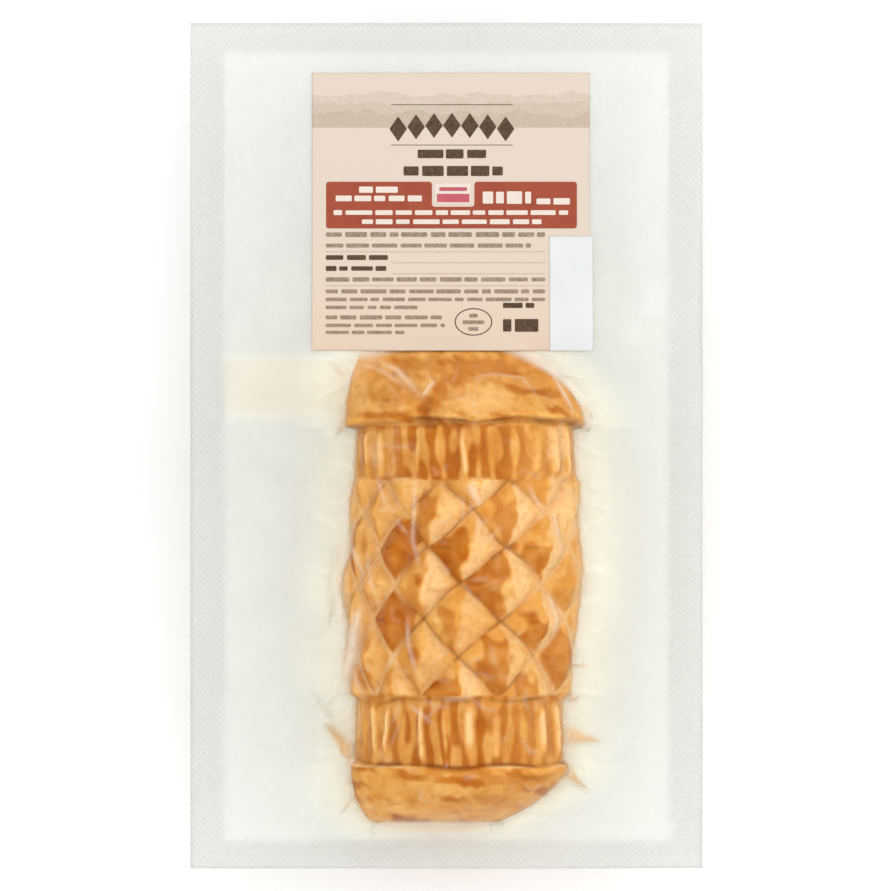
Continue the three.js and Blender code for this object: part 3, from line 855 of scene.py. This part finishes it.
def filmSheet(side, flangeSteps, girthSteps, rowShare):
    y = filmRows(rowShare)[:, None]
    columns = cheese["girthColumns"]
    column = np.linspace(0, columns, columns * girthSteps + 1)[None, :] + 0 * y
    yOver = np.clip(y, cheese["footEnd"], cheese["headEnd"]) + 0 * column
    girthX, girthZ, form = girthPoint(yOver, column, side, True)
    share = 1 - (1 - np.linspace(0, 1, flangeSteps, endpoint=False)[None, :]) ** 1.5
    leftX = mix(-pouch["edge"], girthX[:, :1], share)
    rightX = mix(pouch["edge"], girthX[:, -1:], share)[:, ::-1]
    x = np.hstack([leftX, girthX, rightX])
    rootLeft, rootRight = girthX[:, :1], girthX[:, -1:]
    beyond = np.maximum(y - cheese["headEnd"], cheese["footEnd"] - y)
    even = np.linspace(-pouch["edge"], pouch["edge"], x.shape[1])[None, :]
    x = mix(x, even, smoothStep(beyond, 0, 40))
    y = y + 0 * x
    z = sheetHeight(x, y) + side * pouch["sheetsApart"] / 2
    middle = slice(flangeSteps, -flangeSteps)
    z[:, middle] = np.where(beyond <= 0, girthZ, z[:, middle])
    tightX, tightZ = x.copy(), z.copy()

    # The sheet bridges the corner between the cheese and the flat film in a small curve
    outside = np.maximum(np.maximum(rootLeft - x, x - rootRight), beyond)
    tent = 1 + 0.9 * np.exp(-(((y + 36) / 12) ** 2)) * (x < 0) * (side > 0)
    corner = np.exp(-((outside / (film["fillet"] * tent)) ** 2))
    corner = np.where((outside < 0), np.exp(-((outside / 1.6) ** 2)), corner)
    for _ in range(film["filletRounds"]):
        for grid in (x, z):
            across = np.zeros_like(grid)
            across[:, 1:-1] = (grid[:, :-2] + grid[:, 2:]) / 2 - grid[:, 1:-1]
            grid += 0.8 * corner * across
    for _ in range(film["filletRounds"] // 3):
        along = np.zeros_like(z)
        along[1:-1] = (z[:-2] + z[2:]) / 2 - z[1:-1]
        z += 0.8 * np.exp(-((np.maximum(beyond, 0.3 * -beyond) / 2.0) ** 2)) * along
    outward = np.sign(x - axisX(yOver[:, :1]))
    x = np.where(outside < 0, outward * np.maximum(outward * x, outward * tightX), x)
    z = side * np.maximum(side * z, side * tightZ)
    height = np.abs(z - sheetHeight(x, y)) - pouch["sheetsApart"] / 2

    free = smoothStep(outside, 0, 7)
    weldGap = np.minimum(pouch["edge"] - np.abs(x) - pouch["sideWeld"], pouch["end"] - y - pouch["headWeld"])
    weldGap = np.minimum(weldGap, y + pouch["end"] - pouch["footWeld"])
    slack = smoothStep(weldGap, -1.5, 5)
    offLabel = np.maximum(np.maximum(label["left"] - x, x - sticker["right"]), sticker["foot"] - y)
    offLabel = np.maximum(offLabel, y - label["head"])
    offPaper = smoothStep(offLabel, 0.5, label["margin"] + 3)
    wrinkle = film["wrinkle"] * randomWaves(x, y, film["wrinkleLength"], 21, 14)
    wrinkle = wrinkle + film["fineWrinkle"] * randomWaves(x, y, film["fineLength"], 22, 14)
    z = z + wrinkle * free * slack * offPaper

    # The folds stand off along the sheet's own normal
    points = np.stack([x, y, z], axis=-1)
    normal = np.cross(np.gradient(points, axis=1), np.gradient(points, axis=0))
    normal = side * normal / np.maximum(np.linalg.norm(normal, axis=-1, keepdims=True), 1e-9)
    lift, foldHaze, pleatCheeseLight = pleatLift(x, y, side, outside)
    for folds in (shapedFolds if side > 0 else [], looseCreases()):
        more, moreHaze = foldLift(x, y, folds)
        lift, foldHaze = lift + more, np.maximum(foldHaze, moreHaze)
    inside = np.where((outside < 0) & (beyond < 0), 1, 0)
    fine = inside * 0.08 * np.maximum(randomWaves(x, y, 2.6, 23), 0)
    points = points + normal * ((lift + fine) * offPaper * smoothStep(weldGap, -2, 2))[..., None]
    points[..., 0] = np.clip(points[..., 0], -pouch["edge"], pouch["edge"])
    points[..., 1] = np.clip(points[..., 1], -pouch["end"], pouch["end"])
    points[..., 2] = np.clip(points[..., 2], 0, pouch["top"])
    if side > 0:
        under = (offLabel < 0.3)
        points[..., 2] = np.where(under, np.minimum(points[..., 2], upperFilm(points[..., 0], points[..., 1])), points[..., 2])

    wide = ((0, 0), (flangeSteps, flangeSteps))
    form = {name: np.pad(values, wide) for name, values in form.items()}
    wetAndShade, pale = wetShadeAndLight(x, y, form, side)
    cloud = 0.5 + 0.35 * randomWaves(x, y, 14.0, 24)
    overCheese = mix(film["dryHaze"], film["wetHaze"], np.clip(wetAndShade * 1.2, 0, 1))
    overCheese = overCheese + film["paleHaze"] * pale
    flat = mix(film["nearHaze"], film["freeHaze"], smoothStep(outside, 2, 14)) + 0.1 * (cloud - 0.5) * slack
    shoulder = smoothStep(-x, 8, 16) * smoothStep(y, cheese["headRim"], 9) * (1 - smoothStep(y, 20, label["foot"]))
    lowness = (1 - smoothStep(height, 0.4, film["lowHeight"])) * (1 - film["shoulderShare"] * shoulder)
    haze = mix(overCheese, flat, np.maximum(lowness, smoothStep(outside, -1.1, -0.2)))
    haze = mix(film["weldHaze"], haze, smoothStep(weldGap, -0.4, 0.4))
    haze = np.clip(haze + foldHaze * offPaper, 0, 0.95)
    weld = 1 - smoothStep(weldGap, -0.4, 0.4)
    # Painted warm light from the cheese: on the film near it, over it where the film stands off, and on the pleats
    cheeseLight = film["nearCheeseLight"] * (1 - smoothStep(outside, 1, 16)) * slack
    cheeseLight = np.maximum(cheeseLight, film["overCheeseLight"] * (1 - lowness))
    cheeseLight = np.clip(cheeseLight + pleatCheeseLight * offPaper, 0, 1)
    return points, haze, weld, cheeseLight


# Polyamide and polyethylene vacuum film: clear but slightly milky, glossy, with sharp folds and a knurled weld; its
# milk is tinted with painted warm light from the cheese, and darker grey in the welds as painted shade
def vacuumFilm():
    material, tree = newMaterial("vacuum_film")
    place = addNode(tree, "ShaderNodeTexCoord").outputs["Object"]
    haze = addNode(tree, "ShaderNodeAttribute", attribute_name="haze").outputs["Fac"]
    weld = addNode(tree, "ShaderNodeAttribute", attribute_name="weld").outputs["Fac"]
    cheeseLight = addNode(tree, "ShaderNodeAttribute", attribute_name="cheeseLight").outputs["Fac"]
    turned = addNode(tree, "ShaderNodeMapping", {"Rotation": (0, 0, math.radians(45))}, {"Vector": place})
    knurlPitch = 0.0011
    dots = addNode(
        tree,
        "ShaderNodeTexVoronoi",
        {"Scale": 1 / knurlPitch, "Randomness": 0.0},
        {"Vector": turned.outputs["Vector"]},
        voronoi_dimensions="2D",
    )
    knurl = addNode(tree, "ShaderNodeMath", links={0: dots.outputs["Distance"], 1: weld}, operation="MULTIPLY")
    grain = addNode(tree, "ShaderNodeTexNoise", {"Scale": 1 / 0.011, "Detail": 3.0}, {"Vector": place})
    height = addNode(tree, "ShaderNodeMath", links={0: grain.outputs["Fac"], 1: knurl.outputs["Value"]}, operation="ADD")
    bump = addNode(tree, "ShaderNodeBump", {"Strength": 0.3, "Distance": 0.0002}, {"Height": height.outputs["Value"]})
    cloud = addNode(
        tree,
        "ShaderNodeMapRange",
        {"From Min": 0.3, "From Max": 0.7, "To Min": 0.92, "To Max": 1.08},
        {"Value": grain.outputs["Fac"]},
    )
    knurlTone = addNode(tree, "ShaderNodeMath", {1: 0.22}, {0: knurl.outputs["Value"]}, operation="MULTIPLY")
    hazeCloud = addNode(tree, "ShaderNodeMath", links={0: haze, 1: cloud.outputs["Result"]}, operation="MULTIPLY")
    hazeShare = addNode(
        tree,
        "ShaderNodeMath",
        links={0: hazeCloud.outputs["Value"], 1: knurlTone.outputs["Value"]},
        operation="ADD",
        use_clamp=True,
    )
    # The milk takes on the cheese's colour where the cheese's painted warm light falls
    tint = addNode(
        tree,
        "ShaderNodeValToRGB",
        links={"Fac": cheeseLight},
        stops=[(0.0, "#edf0ea"), (1.0, "#f2d0a0"), (0.2, "#f7f8ec")],
    )
    # The welds are tinted a darker grey: painted shade of the floor's shadow under them
    tinted = addNode(
        tree,
        "ShaderNodeMix",
        {"B": toLinear("#dfe1dc")},
        {"Factor": weld, "A": tint.outputs["Color"]},
        data_type="RGBA",
    )
    milk = addNode(
        tree,
        "ShaderNodeBsdfPrincipled",
        {"Roughness": 0.35, "IOR": 1.5},
        {"Base Color": tinted.outputs["Result"], "Normal": bump.outputs["Normal"]},
    )
    glow = addNode(tree, "ShaderNodeBsdfTranslucent", links={"Color": tinted.outputs["Result"]})
    milky = addNode(tree, "ShaderNodeMixShader", {0: 0.35}, {1: milk.outputs["BSDF"], 2: glow.outputs["BSDF"]})
    clear = addNode(tree, "ShaderNodeBsdfTransparent")
    gloss = addNode(tree, "ShaderNodeBsdfGlossy", {"Roughness": 0.2}, {"Normal": bump.outputs["Normal"]})
    mirror = addNode(tree, "ShaderNodeFresnel", {"IOR": 1.2}, {"Normal": bump.outputs["Normal"]})
    skin = addNode(
        tree,
        "ShaderNodeMixShader",
        links={0: mirror.outputs["Fac"], 1: clear.outputs["BSDF"], 2: gloss.outputs["BSDF"]},
    )
    mixed = addNode(
        tree,
        "ShaderNodeMixShader",
        links={0: hazeShare.outputs["Value"], 1: skin.outputs["Shader"], 2: milky.outputs["Shader"]},
    )
    addNode(tree, "ShaderNodeOutputMaterial", links={"Surface": mixed.outputs["Shader"]})
    return material


def buildFilm(name, side, flangeSteps, girthSteps, rowShare, material):
    points, haze, weld, cheeseLight = filmSheet(side, flangeSteps, girthSteps, rowShare)
    rows, columns = points.shape[:2]
    bm = bmesh.new()
    bmesh.ops.create_grid(bm, x_segments=columns - 1, y_segments=rows - 1, size=1)
    moveVertices(bm, points[..., 0], points[..., 1], points[..., 2])
    if side < 0:
        bmesh.ops.reverse_faces(bm, faces=bm.faces)
    else:
        border = [edge for edge in bm.edges if edge.is_boundary]
        made = bmesh.ops.extrude_edge_only(bm, edges=border)["geom"]
        down = [item for item in made if isinstance(item, bmesh.types.BMVert)]
        bmesh.ops.translate(bm, verts=down, vec=(0, 0, -pouch["sheetsApart"] * mm))
        extra = len(down)
        haze = np.append(haze.ravel(), np.full(extra, film["weldHaze"]))
        weld = np.append(weld.ravel(), np.ones(extra))
        cheeseLight = np.append(cheeseLight.ravel(), np.zeros(extra))
    piece = addPiece(name, bm, [material], "clear_film", "vacuum_pouch")
    addAttribute(piece, "haze", haze)
    addAttribute(piece, "weld", weld)
    addAttribute(piece, "cheeseLight", cheeseLight)
    return piece


filmMaterial = vacuumFilm()
buildFilm("front_film", 1, 34, 9, 1.0, filmMaterial)
buildFilm("back_film", -1, 36, 5, 0.72, filmMaterial)
print("film pouch done")

# The print on the label, in millimetres from its upper left corner
landscape = {"skyline": 5.2, "foot": 13.2, "ridgeHeight": 2.6, "ridgeLength": 11.0}


# Uncoated label paper, offset printed: a warm cream ground with a soft sketch of hills along its upper edge
def labelPaper():
    material, tree = newMaterial("printed_label_paper")
    sheet = addNode(tree, "ShaderNodeUVMap", uv_map="UVMap").outputs["UV"]
    place = addNode(tree, "ShaderNodeTexCoord").outputs["Object"]
    parts = addNode(tree, "ShaderNodeSeparateXYZ", links={"Vector": sheet})
    down = addNode(tree, "ShaderNodeMath", {0: 1.0}, {1: parts.outputs["Y"]}, operation="SUBTRACT")
    labelHeight = label["head"] - label["foot"]
    labelWidth = label["right"] - label["left"]
    downMm = addNode(tree, "ShaderNodeMath", {1: labelHeight}, {0: down.outputs["Value"]}, operation="MULTIPLY")
    ground = addNode(
        tree,
        "ShaderNodeValToRGB",
        links={"Fac": down.outputs["Value"]},
        stops=[(0.0, "#cfc0b2"), (1.0, "#d1bca8"), (0.55, "#cfc0b1")],
    )
    colour = ground.outputs["Color"]
    for index, tint in enumerate(("#c3b3a3", "#bdad9c", "#b5a492")):
        along = addNode(
            tree,
            "ShaderNodeMapping",
            {"Location": (index * 3.7, index * 1.9, 0), "Scale": (labelWidth / landscape["ridgeLength"] * (1 + 0.4 * index), 0, 0)},
            {"Vector": sheet},
        )
        ridge = addNode(tree, "ShaderNodeTexNoise", {"Scale": 1.0, "Detail": 5.0 - index}, {"Vector": along.outputs["Vector"]})
        skyline = addNode(
            tree,
            "ShaderNodeMapRange",
            {
                "From Min": 0.3,
                "From Max": 0.7,
                "To Min": landscape["skyline"] + 2.2 * index + landscape["ridgeHeight"] / 2,
                "To Max": landscape["skyline"] + 2.2 * index - landscape["ridgeHeight"] / 2,
            },
            {"Value": ridge.outputs["Fac"]},
        )
        under = addNode(tree, "ShaderNodeMath", links={0: downMm.outputs["Value"], 1: skyline.outputs["Result"]}, operation="GREATER_THAN")
        above = addNode(tree, "ShaderNodeMath", {1: landscape["foot"]}, {0: downMm.outputs["Value"]}, operation="LESS_THAN")
        hatch = addNode(
            tree,
            "ShaderNodeTexNoise",
            {"Scale": 1 / 0.0009, "Detail": 2.0},
            {"Vector": place},
        )
        hatchShare = addNode(
            tree,
            "ShaderNodeMapRange",
            {"From Min": 0.35, "From Max": 0.65, "To Min": 0.55, "To Max": 1.0},
            {"Value": hatch.outputs["Fac"]},
        )
        inside = addNode(tree, "ShaderNodeMath", links={0: under.outputs["Value"], 1: above.outputs["Value"]}, operation="MULTIPLY")
        share = addNode(tree, "ShaderNodeMath", links={0: inside.outputs["Value"], 1: hatchShare.outputs["Result"]}, operation="MULTIPLY")
        layer = addNode(
            tree,
            "ShaderNodeMix",
            {"B": toLinear(tint)},
            {"Factor": share.outputs["Value"], "A": colour},
            data_type="RGBA",
        )
        colour = layer.outputs["Result"]
    fibre = addNode(tree, "ShaderNodeTexNoise", {"Scale": 1 / 0.0005, "Detail": 4.0}, {"Vector": place})
    bump = addNode(tree, "ShaderNodeBump", {"Strength": 0.12, "Distance": 0.0001}, {"Height": fibre.outputs["Fac"]})
    shader = addNode(
        tree,
        "ShaderNodeBsdfPrincipled",
        {"Roughness": 0.62, "IOR": 1.45, "Specular IOR Level": 0.25},
        {"Base Color": colour, "Normal": bump.outputs["Normal"]},
    )
    addNode(tree, "ShaderNodeOutputMaterial", links={"Surface": shader.outputs["BSDF"]})
    return material


# Printing ink or coated sticker paper: one tone, a little uneven as ink is on paper
def inkOrCoat(name, tone, otherTone, roughness, patch):
    material, tree = newMaterial(name)
    place = addNode(tree, "ShaderNodeTexCoord").outputs["Object"]
    noise = addNode(tree, "ShaderNodeTexNoise", {"Scale": 1 / patch, "Detail": 3.0}, {"Vector": place})
    colour = addNode(
        tree,
        "ShaderNodeValToRGB",
        links={"Fac": noise.outputs["Fac"]},
        stops=[(0.35, tone), (0.65, otherTone)],
    )
    bump = addNode(tree, "ShaderNodeBump", {"Strength": 0.1, "Distance": 0.0001}, {"Height": noise.outputs["Fac"]})
    shader = addNode(
        tree,
        "ShaderNodeBsdfPrincipled",
        {"Roughness": roughness, "IOR": 1.48, "Specular IOR Level": 0.25},
        {"Base Color": colour.outputs["Color"], "Normal": bump.outputs["Normal"]},
    )
    addNode(tree, "ShaderNodeOutputMaterial", links={"Surface": shader.outputs["BSDF"]})
    return material


def buildPaper(name, sheet, cells, material, slotName, node):
    bm = bmesh.new()
    bmesh.ops.create_grid(bm, x_segments=cells[0], y_segments=cells[1], size=1)
    uvLayer = bm.loops.layers.uv.new("UVMap")
    unit = np.array([vertex.co for vertex in bm.verts])
    for face in bm.faces:
        for loop in face.loops:
            loop[uvLayer].uv = ((loop.vert.co.x + 1) / 2, (loop.vert.co.y + 1) / 2)
    x = mix(sheet["left"], sheet["right"], (unit[:, 0] + 1) / 2)
    y = mix(sheet["foot"], sheet["head"], (unit[:, 1] + 1) / 2)
    moveVertices(bm, x, y, upperFilm(x, y) + sheet["gap"] + sheet["thickness"])
    made = bmesh.ops.extrude_face_region(bm, geom=list(bm.faces), use_keep_orig=True)["geom"]
    lower = [item for item in made if isinstance(item, bmesh.types.BMVert)]
    bmesh.ops.translate(bm, verts=lower, vec=(0, 0, -sheet["thickness"] * mm))
    bmesh.ops.recalc_face_normals(bm, faces=bm.faces)
    return addPiece(name, bm, [material], slotName, node)


buildPaper("printed_label", label, (120, 120), labelPaper(), "label_paper", "paper_label")

# What is printed: a row of lozenges, bars for the lines of words, a rust banner and a plain oval
printing = {
    "inkGap": 0.05,
    "bendStep": 3.0,
    "lozengeX": 33.6,
    "lozengeRow": 12.6,
    "lozengeHalf": (2.1, 3.0),
    "banner": (3.4, 26.2, 63.6, 37.4),
    "notch": (28.8, 39.0, 32.2),
    "smallLines": [
        (234, 326, 545, 7, "fine"),
        (245, 326, 531, 6, "fine"),
        (257, 326, 388, 7, "dark"),
        (268, 326, 388, 7, "dark"),
        (279, 326, 545, 6, "fine"),
        (291, 326, 545, 6, "fine"),
        (299, 326, 545, 5, "fine"),
        (307, 326, 418, 5, "fine"),
        (317, 326, 442, 6, "fine"),
        (325, 326, 445, 5, "fine"),
        (332, 326, 408, 5, "fine"),
    ],
}
inkSlots = {"rust": 0, "dark": 1, "fine": 2, "pale": 3, "line": 4, "rose": 5}


def printShape(bm, corners, ink, height, rounding=0.0):
    verts = [bm.verts.new((x, y, height)) for x, y in corners]
    face = bm.faces.new(verts)
    face.material_index = inkSlots[ink]
    if rounding:
        bmesh.ops.bevel(bm, geom=verts, offset=rounding, segments=4, profile=0.5, affect="VERTICES", material=-1)


def printBar(bm, left, head, right, foot, ink, height=0.0, rounding=0.0):
    printShape(bm, [(left, head), (left, foot), (right, foot), (right, head)], ink, height, rounding)


def wordBars(bm, draw, left, right, middle, tall, ink, height=0.0):
    at = left
    while at < right - 0.8:
        length = min(draw.uniform(1.8, 6.5), right - at)
        half = tall / 2 * draw.uniform(0.85, 1.0)
        printBar(bm, at, middle - half, at + length, middle + half, ink, height, min(0.25, half * 0.6))
        at += length + draw.uniform(0.6, 0.9)


def labelMm(px, py):
    return (px - 312) * 0.24, (py - 72) * 0.24


def buildPrint():
    bm = bmesh.new()
    draw = np.random.default_rng(8)
    left, head, right, foot = printing["banner"]
    notchLeft, notchRight, notchFoot = printing["notch"]
    banner = [
        (left, head), (left, foot), (right, foot), (right, head),
        (notchRight, head), (notchRight, notchFoot), (notchLeft, notchFoot), (notchLeft, head),
    ]
    printShape(bm, banner, "rust", 0.0, 0.7)
    for x0, x1, middle, tall in ((11.3, 20.6, 28.1, 1.5), (5.7, 26.4, 30.2, 1.5), (41.0, 52.6, 30.0, 3.2), (53.9, 62.6, 30.9, 1.6)):
        wordBars(bm, draw, x0, x1, middle, tall, "pale", 0.05)
    wordBars(bm, draw, 5.2, 61.5, 33.6, 1.2, "pale", 0.05)
    wordBars(bm, draw, 12.0, 55.2, 35.8, 1.2, "pale", 0.05)
    printBar(bm, 29.6, 26.6, 38.2, 31.4, "pale", 0.0, 0.3)
    printBar(bm, 30.0, 29.1, 37.8, 31.1, "rose", 0.05, 0.15)
    printBar(bm, 30.6, 27.5, 37.2, 28.4, "rose", 0.05, 0.15)
    for step in range(-3, 4):
        centre = printing["lozengeX"] + step * 4.3
        halfWide, halfTall = printing["lozengeHalf"]
        row = printing["lozengeRow"] + 0.1 * step * step
        shape = [(centre - halfWide, row), (centre, row + halfTall), (centre + halfWide, row), (centre, row - halfTall)]
        printShape(bm, shape, "dark", 0.0, 0.15)
    wordBars(bm, draw, 25.4, 41.8, 19.5, 2.3, "dark")
    wordBars(bm, draw, 22.0, 45.8, 23.6, 2.5, "dark")
    printBar(bm, 19.0, 7.6, 48.2, 7.75, "dark")
    printBar(bm, 19.0, 17.3, 48.2, 17.45, "dark")
    for middle, first, last, tall, ink in printing["smallLines"]:
        x0, y0 = labelMm(first, middle)
        x1, _ = labelMm(last, middle)
        wordBars(bm, draw, x0, x1, y0, tall * 0.24 * 0.72, ink)
    for py in (251, 262, 273, 285):
        x0, y0 = labelMm(326 if py in (251, 285) else 392, py)
        x1, _ = labelMm(545, py)
        printBar(bm, x0, y0, x1, y0 + 0.12, "line")
    x0, y0 = labelMm(503, 317)
    x1, y1 = labelMm(545, 333)
    wordBars(bm, draw, x0, x1, (y0 + y1) / 2, 3.2, "dark")
    x0, y0 = labelMm(503, 305)
    wordBars(bm, draw, x0, x0 + 7.5, y0, 1.3, "dark")
    centreX, centreY = labelMm(473.5, 321.5)
    rings = []
    for halfWide, halfTall in ((4.5, 3.3), (4.25, 3.05)):
        ring = bmesh.ops.create_circle(bm, cap_ends=False, segments=48, radius=1)["verts"]
        bmesh.ops.scale(bm, vec=(halfWide, halfTall, 1), verts=ring)
        bmesh.ops.translate(bm, vec=(centreX, centreY, 0), verts=ring)
        rings.extend({edge for vertex in ring for edge in vertex.link_edges})
    for face in bmesh.ops.bridge_loops(bm, edges=rings)["faces"]:
        face.material_index = inkSlots["dark"]
    for middle, half in ((-1.5, 1.0), (0.1, 2.6), (1.7, 1.2)):
        printBar(bm, centreX - half, centreY + middle - 0.45, centreX + half, centreY + middle + 0.45, "fine", 0.0, 0.2)

    # The shapes are cut across every few millimetres, so that they can follow the bent label
    width, height = label["right"] - label["left"], label["head"] - label["foot"]
    for size, normal in ((width, (1, 0, 0)), (height, (0, 1, 0))):
        for at in np.arange(printing["bendStep"], size, printing["bendStep"]):
            geom = [*bm.verts, *bm.edges, *bm.faces]
            cut = [at * part for part in normal]
            bmesh.ops.bisect_plane(bm, geom=geom, dist=1e-5, plane_co=cut, plane_no=normal)
    flat = np.array([vertex.co for vertex in bm.verts])
    x, y = label["left"] + flat[:, 0], label["head"] - flat[:, 1]
    z = upperFilm(x, y) + label["gap"] + label["thickness"] + printing["inkGap"] + flat[:, 2]
    moveVertices(bm, x, y, z)
    bmesh.ops.recalc_face_normals(bm, faces=bm.faces)
    turned = [face for face in bm.faces if face.normal.z < 0]
    bmesh.ops.reverse_faces(bm, faces=turned)
    inks = [
        inkOrCoat("rust_ink", "#92402a", "#98462e", 0.55, 0.004),
        inkOrCoat("dark_brown_ink", "#43301f", "#5a4330", 0.55, 0.0008),
        inkOrCoat("fine_brown_ink", "#836e5c", "#9d8976", 0.6, 0.0007),
        inkOrCoat("paper_white_ink", "#dccfc4", "#d6c9be", 0.6, 0.002),
        inkOrCoat("hairline_ink", "#b09b88", "#bba896", 0.6, 0.002),
        inkOrCoat("rose_ink", "#b0505c", "#b65862", 0.55, 0.003),
    ]
    return addPiece("label_print", bm, inks, "label_paper", "paper_label")


buildPrint()
coated = inkOrCoat("coated_sticker_paper", "#d0d3d2", "#d4d6d6", 0.4, 0.012)
buildPaper("blank_white_sticker", sticker, (24, 56), coated, "sticker_paper", "blank_sticker")
print("label and sticker done")


# Painted board: an almost even white with the faintest mottling
def floorPaint():
    material, tree = newMaterial("white_floor_board")
    place = addNode(tree, "ShaderNodeTexCoord").outputs["Object"]
    mottle = addNode(tree, "ShaderNodeTexNoise", {"Scale": 3.0, "Detail": 2.0}, {"Vector": place})
    colour = addNode(
        tree,
        "ShaderNodeValToRGB",
        links={"Fac": mottle.outputs["Fac"]},
        stops=[(0.3, "#f6f6f6"), (0.7, "#f9f9f9")],
    )
    shader = addNode(
        tree,
        "ShaderNodeBsdfPrincipled",
        {"Roughness": 0.8},
        {"Base Color": colour.outputs["Color"]},
    )
    addNode(tree, "ShaderNodeOutputMaterial", links={"Surface": shader.outputs["BSDF"]})
    return material


studio = {
    "floorSize": 3.0,
    "floorDrop": -0.00005,
    "world": 1.17,
    "lights": [
        ("key", (0.62, 0.45, 0.85), 0.26, 1.7),
        ("overhead", (-0.15, 0.1, 1.5), 1.4, 1.6),
    ],
}


def buildStudio():
    bm = bmesh.new()
    bmesh.ops.create_grid(bm, x_segments=8, y_segments=8, size=studio["floorSize"] / 2)
    bmesh.ops.translate(bm, vec=(0, 0, studio["floorDrop"]), verts=bm.verts)
    mesh = bpy.data.meshes.new("floor")
    bm.to_mesh(mesh)
    bm.free()
    mesh.materials.append(floorPaint())
    floor = bpy.data.objects.new("floor", mesh)
    bpy.context.scene.collection.objects.link(floor)
    world = bpy.data.worlds.new("studio")
    world.use_nodes = True
    bpy.context.scene.world = world
    background = world.node_tree.nodes["Background"]
    background.inputs["Color"].default_value = (1, 1, 1, 1)
    background.inputs["Strength"].default_value = studio["world"]
    for name, place, size, energy in studio["lights"]:
        lamp = bpy.data.lights.new(name, "AREA")
        lamp.shape = "DISK"
        lamp.size = size
        lamp.energy = energy
        light = bpy.data.objects.new(name, lamp)
        light.location = place
        light.rotation_euler = (Vector((0, 0, 0.02)) - Vector(place)).to_track_quat("-Z", "Y").to_euler()
        bpy.context.scene.collection.objects.link(light)


# The camera looks straight down, far enough off that the pouch fills the photograph's frame as it does there
camera = {"lens": 600.0, "sensor": 36.0, "pixels": 893, "pixelMm": 0.24, "planeMm": 27.0}


def buildCamera():
    lens = bpy.data.cameras.new("photo")
    lens.lens = camera["lens"]
    lens.sensor_width = camera["sensor"]
    lens.sensor_fit = "HORIZONTAL"
    eye = bpy.data.objects.new("photo", lens)
    viewWidth = camera["pixels"] * camera["pixelMm"] * mm
    eye.location = (0, 0, viewWidth * camera["lens"] / camera["sensor"] + camera["planeMm"] * mm)
    bpy.context.scene.collection.objects.link(eye)
    bpy.context.scene.camera = eye


buildStudio()
buildCamera()
bpy.context.scene.view_settings.view_transform = "Standard"
print("studio done")
